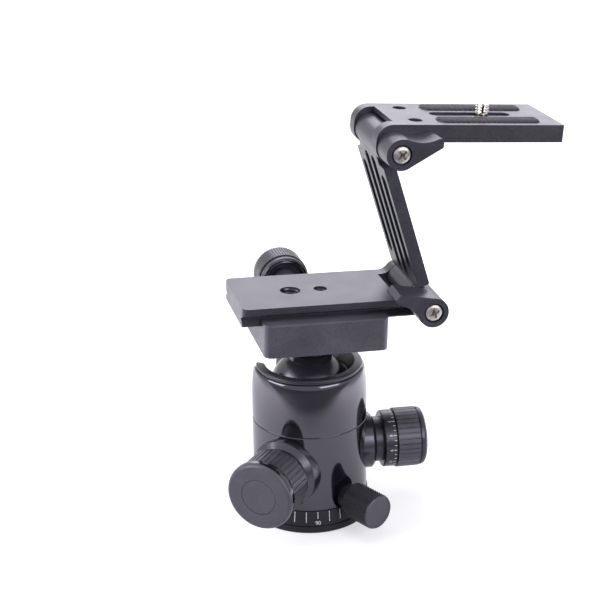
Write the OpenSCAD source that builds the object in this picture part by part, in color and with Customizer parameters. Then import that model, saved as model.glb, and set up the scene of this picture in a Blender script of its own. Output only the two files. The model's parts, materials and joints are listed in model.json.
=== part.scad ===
// Tripod ball head with a panning base, a screw clamp and a folding tilt bracket.
// Millimetres. +Z is up the panning axis, the origin is the centre of the base's underside,
// and +X runs along the bracket's plates.

/* [Pose] */
// Lean of the ball towards +X
pose_tilt = 2; // [-8:0.5:8]
// Direction of the bracket arm above the clamp
arm_angle = 108.7; // [80:0.1:140]
// Direction of the camera plate above the clamp
top_angle = -2; // [-30:0.5:40]
// Direction of the upper lever's tail
upper_lever_angle = 0; // [-20:1:20]
// Direction of the lower lever's tail
lower_lever_angle = 141; // [120:1:160]

/* [Panning base] */
// Width of the base flange outside the housing
base_step = 2.1; // [1.1:0.1:6]
// Height of the plain rim at the foot
base_rim_h = 3.6; // [2.5:0.1:6]
// Height of the sloping scale ring
scale_h = 7.4; // [6:0.1:10]
// Width of the scale ring's top edge outside the housing
scale_step = 0.4; // [0:0.1:0.9]
// Depth of the hub that the housing turns on, from the housing's face
hub_inset = 9.5; // [9:0.5:13]
// Radius of the tripod screw socket, a 3/8 inch thread
socket_r = 4.7625; // [3.175:0.0125:4.7625]
// Depth of the tripod screw socket
socket_depth = 12; // [8:0.5:14]

/* [Housing] */
// Radius of the housing
body_r = 27.5; // [26.5:0.1:29]
// Height of the joint between the two housing halves
part_z = 49.2; // [46.5:0.1:49.8]
// Thickness of the housing floor that carries the pan lock
floor_h = 7.8; // [7:0.1:9]
// Height of the top of the lip ring
lip_top_z = 77.3; // [77:0.1:79]
// Outer radius of the lip ring
lip_r = 25.2; // [24.2:0.1:25.8]
// Radius of the lip ring's mouth
mouth_r = 21.6; // [20:0.1:22.4]
// Height of the rounded shoulder under the lip ring
shoulder_h = 16; // [6:0.1:22]
// Chamfer on both sides of the parting line
part_c = 0.4; // [0.1:0.1:1]
// Direction of the drop notch
notch_az = 140; // [120:1:160]
// Half the width of the drop notch
notch_w = 12.6; // [12:0.1:13]

/* [Ball] */
// Height of the centre of the ball
ball_z = 63; // [62.6:0.1:63.6]
// Radius of the ball
ball_r = 19; // [18.5:0.1:19.3]
// Radius of the stem between ball and clamp
stem_r = 11; // [9:0.1:11.5]
// Radius of the stem's pin in the ball
stem_pin_r = 5; // [4:0.1:6]
// Length of the stem's pin in the ball
stem_pin_len = 13; // [8:0.5:16]

/* [Main lock knob] */
// Direction of the main lock knob
lock_az = 229.5; // [215:0.5:245]
// Height of the main lock knob
lock_z = 30; // [28:0.1:32]
// Length of its front cap
lock_cap_len = 5.9; // [4.4:0.1:9]
// Radius of the disc in its front cap
lock_inlay_r = 8.5; // [6:0.1:11]
// Radius of its front cap
lock_cap_r = 16.4; // [15.5:0.1:18]
// Radius of its ribbed grip
lock_grip_r = 15.6; // [14.4:0.1:16.4]
// Length of its ribbed grip
lock_grip_len = 12.6; // [9:0.1:15]
// Radius of its collar on the housing
lock_collar_r = 16.6; // [15:0.1:17.2]
// Radius of its spindle
lock_spindle_r = 4; // [3:0.1:5]

/* [Drag knob] */
// Direction of the drag knob
drag_az = -5; // [-15:0.5:10]
// Height of the drag knob
drag_z = 32.5; // [30:0.1:34]
// Length of its scale ring
drag_ring_len = 6; // [4:0.1:10]
// Radius of its sleeve
drag_sleeve_r = 11; // [7:0.1:11.5]
// Radius of its ribbed grip
drag_grip_r = 14.5; // [13.6:0.1:16]
// Length of its ribbed grip
drag_grip_len = 10.8; // [8:0.1:12]
// Radius of its scale ring
drag_ring_r = 13.9; // [13:0.1:14.5]
// Radius of its collar on the housing
drag_collar_r = 13.6; // [10:0.1:14.5]
// Radius of its spindle
drag_spindle_r = 3; // [2.5:0.1:4]

/* [Pan lock knob] */
// Direction of the pan lock knob
pan_az = 297; // [290:0.5:310]
// Height of the pan lock knob
pan_z = 15; // [14.8:0.1:15.2]
// Length of the pan lock knob
pan_knob_len = 17.1; // [12:0.1:24]
// Radius of the pan lock knob
pan_knob_r = 8.6; // [7:0.1:9.5]
// Radius of its spindle
pan_spindle_r = 3; // [2.2:0.1:3]

/* [Clamp] */
// Length of the clamp along the plates
clamp_len = 58; // [48:0.5:66]
// Distance of the clamp's middle from the ball axis
clamp_shift = 1; // [-3:0.1:3]
// Height of the clamp's underside above the ball's centre
clamp_z0 = 28.3; // [28:0.1:30]
// Height of the jaws above the clamp's underside
jaw_h = 15.6; // [15:0.1:17]
// Thickness of a jaw outside the dovetail
jaw_t = 8.3; // [6:0.1:10]
// Radius of the clamp's upright corners
clamp_corner_r = 3.5; // [1:0.1:4]
// Height of the clamp screw above the clamp's underside
screw_h = 6.4; // [6:0.1:6.8]
// Radius of the clamp screw
screw_r = 3; // [2.5:0.1:3.2]
// Distance from the clamp's rear jaw to the knob's inner face
knob_gap = 25; // [12:0.5:30]
// Radius of the clamp knob
clamp_knob_r = 12.8; // [10:0.1:14]
// Length of the clamp knob
clamp_knob_len = 16.5; // [10:0.5:18]

/* [Bottom plate] */
// Width of the plates
plate_w = 42; // [40:0.1:48]
// Width of the dovetail foot
foot_w = 38; // [36:0.1:38.5]
// Thickness of the bottom plate
bottom_t = 9; // [8.4:0.1:10]
// Distance from the plate's left end to the ball axis
bottom_left = 37.1; // [32:0.1:48]
// Distance from the ball axis to the lower hinge
lower_axis_x = 48.1; // [46:0.1:54]
// Distance from the lower hinge to the end of the plate's flat
flat_end = 11.9; // [10.5:0.1:12.5]
// Place of the 3/8 inch threaded hole
big_hole_x = -10.5; // [-18:0.1:-9]
// Place of the 1/4 inch threaded hole
small_hole_x = 3.9; // [1:0.1:12]

/* [Arm and hinges] */
// Radius of the hinge barrels
hinge_r = 7; // [6.5:0.1:7.4]
// Half the width of the arm's barrels
arm_half = 13.7; // [11:0.1:14.5]
// Distance along the arm between the hinges
arm_len = 76.4; // [66:0.1:90]
// Thickness of the arm
arm_t = 5.6; // [5:0.1:6.2]
// How far the arm's grooved face stands past the lower hinge
arm_set = 0.8; // [0.4:0.1:1]
// Distance between the hinges across the arm
upper_set = 5.7; // [5.2:0.1:6.4]
// Number of grooves in the arm
groove_count = 4; // [3:1:5]
// Width of the ribs between the grooves
rib_w = 3.4; // [2:0.1:3.8]
// Depth of the grooves
groove_depth = 3; // [1.5:0.1:3.6]
// Radius of the hinge pins
pin_r = 3; // [2.5:0.1:3.5]
// Thickness of the levers along the hinge
lever_t = 14; // [10:0.1:16]
// Length of a lever's tail
lever_len = 19.4; // [15:0.1:22]

/* [Camera plate] */
// Distance from the upper hinge to the plate's end
top_len = 80.8; // [78:0.1:95]
// Thickness of the camera plate
top_t = 8; // [7.4:0.1:9]
// Height of the camera plate's top above the upper hinge
top_rise = 10; // [9.5:0.1:11]
// Start of the slot from the upper hinge
slot_start = 23.3; // [21:0.1:28]
// End of the slot from the upper hinge
slot_end = 62.4; // [58:0.1:66]
// Half the width of the slot
slot_half = 3.4; // [3.3:0.05:3.8]
// Place of the camera screw along the slot
camera_x = 48.8; // [36:0.1:56]
// Height of the camera screw above the plate
camera_h = 5; // [4:0.1:6]
// Radius of the camera screw, a 1/4 inch thread
camera_r = 3.175; // [3:0.025:3.175]
// Start of the rubber pads from the upper hinge
pad_start = 22.4; // [20.5:0.1:26]
// End of the rubber pads from the upper hinge
pad_end = 72.1; // [60:0.1:76]
// Width of a rubber pad
pad_w = 11; // [8:0.1:12]
// Distance of a pad's middle from the slot's middle
pad_y = 12; // [11.2:0.1:12.6]
// Height of the pads above the plate
pad_h = 1; // [0.6:0.1:1.6]
// Place of the two threaded holes from the upper hinge
top_hole_x = 12.8; // [11.5:0.1:16]
// Distance of the threaded holes from the middle
top_hole_y = 11.9; // [9:0.1:14]

/* [Fits] */
// Radial clearance of a turning fit
run_c = 0.05; // [0.02:0.01:0.1]
// Gap between seated pieces that do not move on each other
seat_c = 0.02; // [0.01:0.01:0.05]
// Gap between faces that pass each other
face_c = 0.2; // [0.1:0.05:0.4]
// Clearance of the dovetail
dove_c = 0.25; // [0.1:0.05:0.35]

/* [Hidden] */
$fn = 96;

BLACK = "#26272b";
GREY = "#3a3b41";
RUBBER = "#17181a";
STEEL = "#b9bbbf";
BRASS = "#b08d4a";
NYLON = "#e8e6df";

edge = 0.6;
base_r = body_r + base_step;
scale_top_r = body_r + scale_step;
hub_r = body_r - hub_inset;
scale_z = base_rim_h + scale_h;
body_z0 = scale_z + face_c;
floor_z = body_z0 + floor_h;
washer_t = 0.5;
spigot_z = base_rim_h + washer_t + 2 * run_c;
spigot_wall = 3.6;
spigot_r = hub_r + spigot_wall;
ring_in_r = spigot_r + 2 * face_c;
clip_t = 1.2;
clip_z = floor_z + face_c;
clip_depth = 1.2;
clip_r = hub_r + 2.4;
hub_top = clip_z + clip_t + 1.2;

ball_gap = 0.4;
ball_bore_r = ball_r + ball_gap;
cup_gap = 0.25;
cup_seat_r = ball_r + cup_gap;
cup_wall_in = 5.7;
cup_wall_r = body_r - cup_wall_in;
cup_bore_r = cup_wall_r + ball_gap;
ledge_w = 1.2;
cavity_r = cup_bore_r - ledge_w;
cup_drop = 12;
cup_floor_t = 2.5;
cup_edge = 3;
cup_top = ball_z - cup_drop;
cup_z0 = ball_z - ball_r - cup_floor_t;
cup_hole_r = 8;
spring_t = 2.3;
spring_in = 3;
ledge_z = cup_z0 - spring_t - 2 * run_c;

lip_z0 = ball_z + ball_bore_r * sin(26);
lip_seat_z = lip_top_z - 2.1;
lip_spigot_r = lip_r - 1.8;
shoulder_z = lip_seat_z - shoulder_h;
shoulder_r = lip_r + 0.4;
lip_throat_r = ball_r - 0.8;

ball_flat = sqrt(ball_r * ball_r - stem_r * stem_r) + face_c;
bolt_r = 3;
bolt_head_r = 5;
bolt_head_h = 4;
bolt_len = 12;

plate_z1 = clamp_z0 + jaw_h + 6.1;
plate_z0 = plate_z1 - bottom_t;
foot_land = 0.8;
waist = 2.4;
jaw_top = clamp_z0 + jaw_h;
floor_top = plate_z0 - 0.6;
jaw_in = foot_w / 2 + dove_c;
jaw_out = jaw_in + jaw_t;
split_y = 11;
split_gap = 0.4;
screw_z = clamp_z0 + screw_h;
knob_y0 = jaw_out + knob_gap;
knob_hub_r = 6.5;
guide_r = 2;
guide_inset = 10;
guide_grip = 13;
guide_cover = 4;
guide_x = clamp_len / 2 - guide_inset;
lower_axis_z = plate_z0 + hinge_r;

hinge_gap = 0.6;
cheek = arm_half + hinge_gap;
hinge_washer_t = hinge_gap - 2 * run_c;
hinge_washer_r = hinge_r - 0.6;
relief_r = hinge_r + 0.9;
side = plate_w / 2;
pin_head_r = pin_r + 2;
pin_head_t = 2.8;
lever_y0 = side + face_c;
lever_y1 = lever_y0 + lever_t;
lever_wall = 2.4;
lever_recess_r = 4.6;
lever_recess = 1.6;
lever_screw_r = 1.6;
lever_screw_len = 6;
lever_head_r = 4;
lever_head_h = 1.9;

top_z0 = top_rise - top_t;
top_cut = 1.5;
top_ear_r = hinge_r + 0.5;
bar_in = hinge_r + 0.7;
bar_out = top_ear_r + 0.7;
shelf_z = top_z0 + 4.2;
shelf_half = slot_half + 2.8;
pad_sink = 0.6;
retainer_t = 0.5;
camera_head_r = shelf_half - 0.4;
camera_head_t = 3.2;
camera_neck_r = camera_r - 0.4;
camera_lift = 0.3;
top_thread_r = 3.175;
big_thread_r = 4.7625;

// A piece placed in the clamp's frame: the ball's centre is its origin, +Z runs up the stem.
module at_clamp() {
    translate([0, 0, ball_z])
        rotate([0, pose_tilt, 0])
            children();
}

// A piece placed on the lower hinge, square to the clamp.
module at_lower() {
    at_clamp()
        translate([lower_axis_x, 0, lower_axis_z])
            children();
}

// A piece placed on the lower hinge with +X along the arm.
module at_arm() {
    at_lower()
        rotate([0, -arm_angle, 0])
            children();
}

// A piece placed on the upper hinge with +X along the camera plate.
module at_top() {
    at_arm()
        translate([arm_len, 0, -upper_set])
            rotate([0, arm_angle - top_angle, 0])
                children();
}

// A piece whose +Z points straight out of the housing at a direction and a height.
module radial(az, z) {
    rotate([0, 0, az])
        translate([0, 0, z])
            rotate([0, 90, 0])
                children();
}

// A cylinder along Y between two places.
module bar_y(r, y0, y1) {
    translate([0, y1, 0])
        rotate([90, 0, 0])
            cylinder(r = r, h = y1 - y0);
}

// A flat ring of a given height.
module ring(r_out, r_in, h) {
    difference() {
        cylinder(r = r_out, h = h);
        translate([0, 0, -1])
            cylinder(r = r_in, h = h + 2);
    }
}

// A slot-shaped prism with round ends along X.
module stadium(x0, x1, half, h) {
    translate([x0 + half, -half, 0])
        cube([x1 - x0 - 2 * half, 2 * half, h]);
    for (x = [x0 + half, x1 - half])
        translate([x, 0, 0])
            cylinder(r = half, h = h);
}

// A rectangle with round corners.
module round_rect(x0, y0, x1, y1, r) {
    translate([x0 + r, y0])
        square([x1 - x0 - 2 * r, y1 - y0]);
    translate([x0, y0 + r])
        square([x1 - x0, y1 - y0 - 2 * r]);
    for (x = [x0 + r, x1 - r], y = [y0 + r, y1 - r])
        translate([x, y])
            circle(r = r);
}

// The outline of a ribbed grip: broad ribs with narrow valleys.
function rib_points(r, count, depth, share) = [
    for (i = [0 : count - 1], k = [0 : 3])
        let (
            step = 360 / count,
            a = step * (i + [0, share, share + (1 - share) / 4, 1 - (1 - share) / 4][k]),
            rad = k < 2 ? r : r - depth
        )
        rad * [cos(a), sin(a)]
];

module ribbed_ring(r, r_in, h, count, depth, share) {
    linear_extrude(h)
        difference() {
            polygon(rib_points(r, count, depth, share));
            circle(r = r_in);
        }
}

// The space that the stem drops into.
module notch() {
    rotate([0, 0, notch_az])
        translate([0, 0, ball_z]) {
            rotate([90, 0, 90])
                linear_extrude(body_r + 5) {
                    circle(r = notch_w);
                    translate([-notch_w, 0])
                        square([2 * notch_w, lip_top_z]);
                }
        }
}

// Bores of the three spindles through the housing.
module spindle_bores() {
    radial(lock_az, lock_z)
        cylinder(r = lock_spindle_r + run_c, h = body_r + 5);
    radial(drag_az, drag_z)
        cylinder(r = drag_spindle_r + run_c, h = body_r + 5);
    radial(pan_az, pan_z)
        cylinder(r = pan_spindle_r + run_c, h = body_r + 5);
}

module pan_base() {
    color(BLACK)
        difference() {
            rotate_extrude()
                polygon([
                    [0, 0], [base_r - edge, 0], [base_r, edge], [base_r, base_rim_h],
                    [hub_r, base_rim_h], [hub_r, clip_z], [hub_r - clip_depth, clip_z],
                    [hub_r - clip_depth, clip_z + clip_t], [hub_r, clip_z + clip_t],
                    [hub_r, hub_top - edge], [hub_r - edge, hub_top], [0, hub_top]
                ]);
            translate([0, 0, -1])
                cylinder(r = socket_r, h = socket_depth + 1);
            translate([0, 0, -1])
                ring(base_r - 5, socket_r + 7, 1.8);
        }
}

module scale_ring() {
    color(BLACK)
        rotate_extrude()
            polygon([
                [ring_in_r, base_rim_h + seat_c], [base_r - edge, base_rim_h + seat_c],
                [scale_top_r, scale_z], [ring_in_r, scale_z]
            ]);
}

module pan_washer() {
    color(NYLON)
        translate([0, 0, base_rim_h + run_c])
            ring(spigot_r - face_c, hub_r + face_c, washer_t);
}

module pan_circlip() {
    clip_gap = 5;
    color(STEEL)
        difference() {
            translate([0, 0, clip_z + run_c])
                ring(clip_r, hub_r - clip_depth + run_c, clip_t - 2 * run_c);
            translate([0, -clip_gap / 2, clip_z - 1])
                cube([clip_r + 1, clip_gap, clip_t + 2]);
        }
}

module lower_housing() {
    color(BLACK)
        difference() {
            rotate_extrude()
                polygon([
                    [hub_r + run_c, spigot_z], [spigot_r, spigot_z], [spigot_r, body_z0],
                    [body_r, body_z0], [body_r, part_z - part_c], [body_r - part_c, part_z],
                    [cup_bore_r, part_z], [cup_bore_r, ledge_z],
                    [cavity_r, ledge_z], [cavity_r, floor_z], [hub_r + run_c, floor_z]
                ]);
            spindle_bores();
        }
}

module upper_housing() {
    shoulder_steps = 12;
    throat_steps = 6;
    outside = [
        for (i = [0 : shoulder_steps])
            let (a = 90 * i / shoulder_steps)
            [shoulder_r + (body_r - shoulder_r) * cos(a), shoulder_z + shoulder_h * sin(a)]
    ];
    inside = [
        for (i = [throat_steps : -1 : 0])
            let (a = 5 + 21 * i / throat_steps)
            [ball_bore_r * cos(a), ball_z + ball_bore_r * sin(a)]
    ];
    color(BLACK)
        difference() {
            rotate_extrude()
                polygon(concat(
                    [
                        [cup_bore_r, part_z + seat_c], [body_r - part_c, part_z + seat_c],
                        [body_r, part_z + seat_c + part_c]
                    ],
                    outside,
                    [[lip_spigot_r + seat_c, lip_seat_z], [lip_spigot_r + seat_c, lip_z0]],
                    inside,
                    [[ball_bore_r, cup_top + ball_gap], [cup_bore_r, cup_top + ball_gap]]
                ));
            notch();
        }
}

module lip_ring() {
    color(BLACK)
        difference() {
            rotate_extrude()
                polygon([
                    [lip_throat_r, lip_z0 + seat_c], [lip_spigot_r, lip_z0 + seat_c],
                    [lip_spigot_r, lip_seat_z + seat_c], [lip_r, lip_seat_z + seat_c],
                    [lip_r, lip_top_z - edge], [lip_r - edge, lip_top_z], [mouth_r, lip_top_z]
                ]);
            notch();
        }
}

// A collar that saddles the round housing where a spindle comes out.
module collar(az, z, r, out, bore, lip) {
    difference() {
        radial(az, z)
            rotate_extrude()
                polygon([
                    [bore, body_r - 8], [r, body_r - 8], [r, out - lip], [r - lip, out], [bore, out]
                ]);
        translate([0, 0, spigot_z])
            cylinder(r = body_r + seat_c, h = lip_top_z);
    }
}

lock_collar_out = body_r + 3.6;
drag_collar_out = body_r + 3.2;
pan_boss_out = body_r + 3;
pan_boss_r = 6;
lock_knob_in = lock_collar_out + 3 * face_c;
drag_neck = 4;
pan_knob_in = max(pan_boss_out, base_r) + 4 * face_c;

module lock_collar() {
    color(GREY)
        collar(lock_az, lock_z, lock_collar_r, lock_collar_out, lock_spindle_r + run_c, 2.4);
}

module drag_collar() {
    color(GREY)
        collar(drag_az, drag_z, drag_collar_r, drag_collar_out, drag_spindle_r + run_c, 1.4);
}

module pan_boss() {
    color(GREY)
        difference() {
            collar(pan_az, pan_z, pan_boss_r, pan_boss_out, pan_spindle_r + run_c, edge);
            translate([0, 0, -1])
                cylinder(r = base_r + 10, h = body_z0 + 1);
        }
}

module cup_spring() {
    color(STEEL)
        translate([0, 0, ledge_z + run_c])
            ring(cup_bore_r - face_c, cavity_r - spring_in, spring_t);
}

module ball_cup() {
    seat_steps = 6;
    low = acos(cup_hole_r / cup_seat_r);
    high = asin((ball_z - cup_top) / cup_seat_r);
    seat = [
        for (i = [0 : seat_steps])
            let (a = high + (low - high) * i / seat_steps)
            [cup_seat_r * cos(a), ball_z - cup_seat_r * sin(a)]
    ];
    color(NYLON)
        rotate_extrude()
            polygon(concat(
                [[cup_hole_r, cup_z0], [cup_wall_r - cup_edge, cup_z0], [cup_wall_r, cup_z0 + cup_edge], [cup_wall_r, cup_top]],
                seat
            ));
}

module ball() {
    color(BLACK)
        at_clamp()
            difference() {
                sphere(r = ball_r);
                translate([-ball_r, -ball_r, ball_flat])
                    cube([2 * ball_r, 2 * ball_r, ball_r]);
                translate([0, 0, ball_flat - stem_pin_len - face_c])
                    cylinder(r = stem_pin_r + run_c, h = stem_pin_len + ball_r);
            }
}

module stem() {
    neck = 0.6;
    neck_z = ball_flat + run_c;
    color(BLACK)
        at_clamp()
            difference() {
                rotate_extrude()
                    polygon([
                        [0, ball_flat - stem_pin_len], [stem_pin_r, ball_flat - stem_pin_len],
                        [stem_pin_r, neck_z], [stem_r - neck, neck_z], [stem_r - neck, neck_z + 3],
                        [stem_r, neck_z + 5], [stem_r, clamp_z0 - seat_c], [0, clamp_z0 - seat_c]
                    ]);
                translate([0, 0, clamp_z0 - bolt_len])
                    cylinder(r = bolt_r + seat_c, h = bolt_len + 1);
            }
}

module clamp_bolt() {
    head_z = floor_top - bolt_head_h - 1;
    color(STEEL)
        at_clamp()
            difference() {
                union() {
                    translate([0, 0, clamp_z0 - bolt_len + 1])
                        cylinder(r = bolt_r, h = head_z - clamp_z0 + bolt_len - 1);
                    translate([0, 0, head_z])
                        cylinder(r = bolt_head_r, h = bolt_head_h);
                }
                translate([0, 0, head_z + bolt_head_h - 2.5])
                    cylinder(r = 2.9, h = 3, $fn = 6);
            }
}

// The clamp's plan, so that its upright corners are round.
module clamp_plan() {
    translate([0, 0, clamp_z0 - 1])
        linear_extrude(jaw_h + 2)
            round_rect(
                clamp_shift - clamp_len / 2, -jaw_out, clamp_shift + clamp_len / 2, jaw_out, clamp_corner_r
            );
}

// One side of the clamp seen along X, from the split to the jaw's outer face.
module jaw_profile(inner, out, side_sign) {
    rotate([90, 0, 90])
        translate([0, 0, clamp_shift - clamp_len / 2])
            linear_extrude(clamp_len)
                scale([side_sign, 1])
                    polygon([
                        [inner, clamp_z0], [out, clamp_z0], [out, jaw_top - edge], [out - edge, jaw_top],
                        [jaw_in - waist + foot_land, jaw_top],
                        [jaw_in, plate_z0 + foot_land + dove_c], [jaw_in, floor_top], [inner, floor_top]
                    ]);
}

module clamp_holes() {
    for (x = [-guide_x, guide_x])
        translate([x, 0, screw_z])
            bar_y(guide_r + seat_c, split_y - guide_grip - 1, split_y + 1);
    translate([0, 0, screw_z])
        bar_y(screw_r + seat_c, bolt_head_r + 0.6, split_y + 1);
    translate([0, 0, clamp_z0 - 1])
        cylinder(r = bolt_r + seat_c, h = 20);
    translate([0, 0, floor_top - bolt_head_h - 1 - seat_c])
        cylinder(r = bolt_head_r + face_c / 2, h = 10);
}

module clamp_body() {
    color(GREY)
        at_clamp()
            difference() {
                intersection() {
                    jaw_profile(-split_y, jaw_out, -1);
                    clamp_plan();
                }
                clamp_holes();
            }
}

module guide_pins() {
    color(STEEL)
        at_clamp()
            for (x = [-guide_x, guide_x])
                translate([x, 0, screw_z])
                    bar_y(guide_r, split_y - guide_grip, jaw_out - guide_cover);
}

module clamp_screw() {
    color(STEEL)
        at_clamp()
            translate([0, 0, screw_z])
                bar_y(screw_r, bolt_head_r + 0.8, knob_y0 + clamp_knob_len - 5);
}

module sliding_jaw() {
    color(GREY)
        at_clamp()
            difference() {
                intersection() {
                    jaw_profile(split_y + split_gap, jaw_out, 1);
                    clamp_plan();
                }
                for (x = [-guide_x, guide_x])
                    translate([x, 0, screw_z])
                        bar_y(guide_r + run_c, split_y, jaw_out - 3);
                translate([0, 0, screw_z])
                    bar_y(screw_r + run_c, split_y, jaw_out + 1);
            }
}

// A knob turned about +Y from a profile of [radius, distance] points.
module turned_y(y, points) {
    translate([0, y, 0])
        rotate([-90, 0, 0])
            rotate_extrude()
                polygon(points);
}

module clamp_knob() {
    hub_y = jaw_out + face_c;
    cup_r = clamp_knob_r - 3;
    cup_d = 3;
    teeth = 60;
    ring_len = 4.2;
    ring_r = clamp_knob_r - 0.6;
    groove_w = 0.9;
    color(GREY)
        at_clamp()
            translate([0, 0, screw_z]) {
                difference() {
                    union() {
                        turned_y(hub_y, [
                            [0, 0], [knob_hub_r, 0], [knob_hub_r, knob_y0 + cup_d + 1 - hub_y],
                            [0, knob_y0 + cup_d + 1 - hub_y]
                        ]);
                        difference() {
                            union() {
                                translate([0, knob_y0 + ring_len, 0])
                                    rotate([-90, 0, 0])
                                        linear_extrude(clamp_knob_len - ring_len)
                                            polygon(rib_points(clamp_knob_r, teeth, 0.3, 0.5));
                                turned_y(knob_y0, [
                                    [0, 0], [ring_r - edge, 0], [ring_r, edge], [ring_r, ring_len - groove_w],
                                    [ring_r - groove_w, ring_len - groove_w], [ring_r - groove_w, ring_len + edge],
                                    [0, ring_len + edge]
                                ]);
                            }
                            turned_y(knob_y0 - 1, [[0, 0], [cup_r, 0], [cup_r, cup_d + 1], [0, cup_d + 1]]);
                        }
                    }
                    bar_y(screw_r + run_c, jaw_out, knob_y0 + clamp_knob_len - 4);
                }
            }
}

module clamp_knob_cap() {
    cap_r = clamp_knob_r - 1.6;
    color(BLACK)
        at_clamp()
            translate([0, 0, screw_z])
                turned_y(knob_y0 + clamp_knob_len + seat_c, [
                    [0, 0], [cap_r, 0], [cap_r, 0.6], [cap_r - 1, 1.4], [0, 1.4]
                ]);
}

lock_grip_in = lock_knob_in + 2.8;
lock_grip_out = lock_grip_in + lock_grip_len;
lock_core_r = lock_grip_r - 2.2;
lock_face = lock_grip_out + lock_cap_len;
spindle_in = 6;

module lock_knob() {
    back_r = lock_grip_r - 0.8;
    color(GREY)
        radial(lock_az, lock_z)
            rotate_extrude()
                polygon([
                    [lock_spindle_r + seat_c, lock_knob_in], [back_r - edge, lock_knob_in],
                    [back_r, lock_knob_in + edge], [back_r, lock_grip_in - seat_c],
                    [lock_core_r, lock_grip_in - seat_c], [lock_core_r, lock_grip_out + seat_c],
                    [0, lock_grip_out + seat_c], [0, lock_knob_in + 10], [lock_spindle_r + seat_c, lock_knob_in + 10]
                ]);
}

module lock_grip() {
    color(RUBBER)
        radial(lock_az, lock_z)
            translate([0, 0, lock_grip_in])
                ribbed_ring(lock_grip_r, lock_core_r + seat_c, lock_grip_len, 40, 0.35, 0.68);
}

module lock_cap() {
    cap_in = lock_grip_out + 2 * seat_c;
    neck_r = lock_grip_r - 0.9;
    color(GREY)
        radial(lock_az, lock_z)
            rotate_extrude()
                polygon([
                    [0, cap_in], [neck_r, cap_in], [neck_r, cap_in + 0.9], [lock_cap_r - edge, cap_in + 0.9],
                    [lock_cap_r, cap_in + 0.9 + edge], [lock_cap_r, lock_face - 1.4], [lock_cap_r - 0.4, lock_face - edge],
                    [lock_cap_r - 1.4, lock_face], [lock_inlay_r + face_c, lock_face],
                    [lock_inlay_r + face_c, lock_face - 1.2], [0, lock_face - 1.2]
                ]);
}

module lock_inlay() {
    color(GREY)
        radial(lock_az, lock_z)
            translate([0, 0, lock_face - 1.2 + seat_c])
                cylinder(r = lock_inlay_r, h = 1.1);
}

module lock_spindle() {
    color(STEEL)
        radial(lock_az, lock_z)
            translate([0, 0, spindle_in])
                cylinder(r = lock_spindle_r, h = lock_knob_in + 10 - seat_c - spindle_in);
}

// The cone on a spindle's thread that presses the cup up.
module press_cone(az, z, bore) {
    cone_in = spindle_in + 3;
    cone_len = 7;
    color(BRASS)
        radial(az, z)
            difference() {
                translate([0, 0, cone_in])
                    cylinder(r1 = bore + 2.6, r2 = bore + 1.2, h = cone_len);
                cylinder(r = bore, h = body_r);
            }
}

module lock_cone() {
    press_cone(lock_az, lock_z, lock_spindle_r + run_c);
}

drag_ring_in = drag_collar_out + drag_neck;
drag_cap_t = 3.6;
drag_ring_gap = 0.7;
drag_grip_in = drag_ring_in + drag_ring_len + drag_ring_gap;
drag_grip_out = drag_grip_in + drag_grip_len;
drag_face = drag_grip_out + drag_cap_t;
drag_core_r = drag_grip_r - 2;

module drag_ring() {
    sleeve_in = drag_collar_out + face_c;
    color(GREY)
        radial(drag_az, drag_z)
            rotate_extrude()
                polygon([
                    [drag_spindle_r + seat_c, sleeve_in], [drag_sleeve_r, sleeve_in], [drag_sleeve_r, drag_ring_in],
                    [drag_ring_r - edge, drag_ring_in], [drag_ring_r, drag_ring_in + edge],
                    [drag_ring_r, drag_grip_in - drag_ring_gap], [drag_core_r, drag_grip_in - drag_ring_gap],
                    [drag_core_r, drag_grip_out], [drag_spindle_r + seat_c, drag_grip_out]
                ]);
}

module drag_grip() {
    color(RUBBER)
        radial(drag_az, drag_z)
            translate([0, 0, drag_grip_in])
                ribbed_ring(drag_grip_r, drag_core_r + seat_c, drag_grip_len - seat_c, 36, 0.35, 0.68);
}

module drag_cap() {
    cap_r = drag_grip_r - 0.3;
    groove_r = cap_r - 0.7;
    color(GREY)
        radial(drag_az, drag_z)
            rotate_extrude()
                polygon([
                    [0, drag_grip_out + seat_c], [groove_r, drag_grip_out + seat_c], [groove_r, drag_grip_out + 0.7],
                    [cap_r, drag_grip_out + 0.7], [cap_r, drag_face - 1.8], [cap_r - 0.5, drag_face - 0.8],
                    [cap_r - 1.8, drag_face], [0, drag_face]
                ]);
}

module drag_spindle() {
    color(STEEL)
        radial(drag_az, drag_z)
            translate([0, 0, spindle_in])
                cylinder(r = drag_spindle_r, h = drag_grip_out - seat_c - spindle_in);
}

module drag_cone() {
    press_cone(drag_az, drag_z, drag_spindle_r + run_c);
}

pan_bore_end = pan_knob_in + 9;
pan_face = pan_knob_in + pan_knob_len;
pan_spindle_in = hub_r + 3.8;

module pan_knob() {
    face_t = 1.4;
    color(BLACK)
        radial(pan_az, pan_z)
            difference() {
                union() {
                    translate([0, 0, pan_knob_in])
                        linear_extrude(pan_face - face_t - pan_knob_in)
                            polygon(rib_points(pan_knob_r, 40, 0.3, 0.5));
                    translate([0, 0, pan_face - face_t])
                        cylinder(r1 = pan_knob_r - 0.3, r2 = pan_knob_r - 1.1, h = face_t);
                }
                translate([0, 0, pan_knob_in - 1])
                    cylinder(r = pan_spindle_r + seat_c, h = pan_bore_end - pan_knob_in + 1);
            }
}

module pan_spindle() {
    color(STEEL)
        radial(pan_az, pan_z)
            translate([0, 0, pan_spindle_in])
                cylinder(r = pan_spindle_r, h = pan_bore_end - seat_c - pan_spindle_in);
}

module pan_shoe() {
    color(BRASS)
        radial(pan_az, pan_z)
            translate([0, 0, hub_r + 0.4])
                cylinder(r = pan_spindle_r, h = 2.8);
}

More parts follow.
